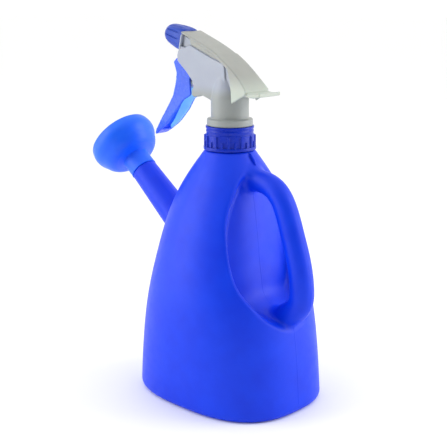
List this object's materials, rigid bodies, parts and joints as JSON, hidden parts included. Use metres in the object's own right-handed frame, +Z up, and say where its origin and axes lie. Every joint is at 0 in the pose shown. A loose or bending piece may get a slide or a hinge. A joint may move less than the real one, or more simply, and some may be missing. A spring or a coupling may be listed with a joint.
{
  "type": "trigger spray bottle with watering rose",
  "caption": "Blow-moulded bottle with a loop handle and a front spout with a rose, closed by a screw-on trigger sprayer with a turning nozzle.",
  "frame": {"origin": "on the ground in the middle of the foot, under the neck's axis", "axes": "+Z up along the neck, -Y towards the spray and the rose, +Y towards the handle, X across, X = 0 is the mirror plane"},
  "size_m": [0.1013, 0.1926, 0.2422],
  "materials": {
    "bottle": "satin blue polyethylene, slightly waxy",
    "rose": "satin blue polyethylene",
    "closure": "satin blue polypropylene",
    "gasket": "soft white foam sheet",
    "clear_white": "natural polyethylene",
    "tube": "translucent natural polyethylene",
    "steel": "polished ball",
    "white_housing": "satin white polypropylene",
    "white_shroud": "satin white polypropylene",
    "trigger": "translucent blue polypropylene",
    "piston": "natural polyethylene",
    "seal": "black rubber",
    "spring_steel": "drawn stainless wire",
    "nozzle": "satin blue polypropylene"
  },
  "bodies": {
    "bottle": {"bottle": "bottle"},
    "rose": {"rose_shell": "rose", "rose_face": "rose"},
    "sprayer": {"pump_housing": "white_housing", "shroud": "white_shroud", "tube_retainer": "clear_white", "neck_gasket": "gasket", "dip_tube": "tube", "riser_plug": "clear_white", "spinner": "clear_white", "return_spring": "spring_steel"},
    "closure": {"closure_cap": "closure"},
    "trigger": {"trigger": "trigger"},
    "plunger": {"piston": "piston", "piston_seal": "seal", "piston_wiper": "seal"},
    "inlet_valve": {"inlet_ball": "steel"},
    "outlet_valve": {"outlet_ball": "steel"},
    "nozzle_carrier": {"nozzle_o_ring": "seal"},
    "nozzle": {"nozzle_cap": "nozzle"}
  },
  "joints": [
    {"name": "sprayer_lift", "type": "slide", "parent": "bottle", "child": "sprayer", "axis": [0, 0, 1], "range_m": [0, 0.00847]},
    {"name": "closure_turn", "type": "hinge", "parent": "sprayer", "child": "closure", "pos_m": [0, 0, 0.17], "axis": [0, 0, 1], "range_deg": [0, 720]},
    {"name": "trigger_squeeze", "type": "hinge", "parent": "sprayer", "child": "trigger", "pos_m": [0, -0.033, 0.221], "axis": [1, 0, 0], "range_deg": [0, 20], "stiffness_Nm_per_rad": 0.6, "springref_deg": -28.65},
    {"name": "plunger_stroke", "type": "slide", "parent": "sprayer", "child": "plunger", "axis": [0, 1, 0], "range_m": [0, 0.0057], "deforming": ["return_spring"]},
    {"name": "inlet_ball_lift", "type": "slide", "parent": "sprayer", "child": "inlet_valve", "axis": [0, 0, 1], "range_m": [0, 0.001]},
    {"name": "outlet_ball_lift", "type": "slide", "parent": "sprayer", "child": "outlet_valve", "axis": [0, 0, 1], "range_m": [0, 0.001]},
    {"name": "nozzle_advance", "type": "slide", "parent": "sprayer", "child": "nozzle_carrier", "axis": [0, -0.9703, 0.2419], "range_m": [0, 0.003]},
    {"name": "nozzle_turn", "type": "hinge", "parent": "nozzle_carrier", "child": "nozzle", "pos_m": [0, -0.0366, 0.2323], "axis": [0, -0.9703, 0.2419], "range_deg": [0, 540]},
    {"name": "rose_pull", "type": "slide", "parent": "bottle", "child": "rose", "axis": [0, -0.776, 0.6307], "range_m": [0, 0.014]}
  ],
  "couplings": [
    {"joint": "closure_turn", "follows": "sprayer_lift", "rad_per_m": 1484.3},
    {"joint": "plunger_stroke", "follows": "trigger_squeeze", "m_per_rad": 0.0163},
    {"joint": "nozzle_turn", "follows": "nozzle_advance", "rad_per_m": 3141.6}
  ]
}
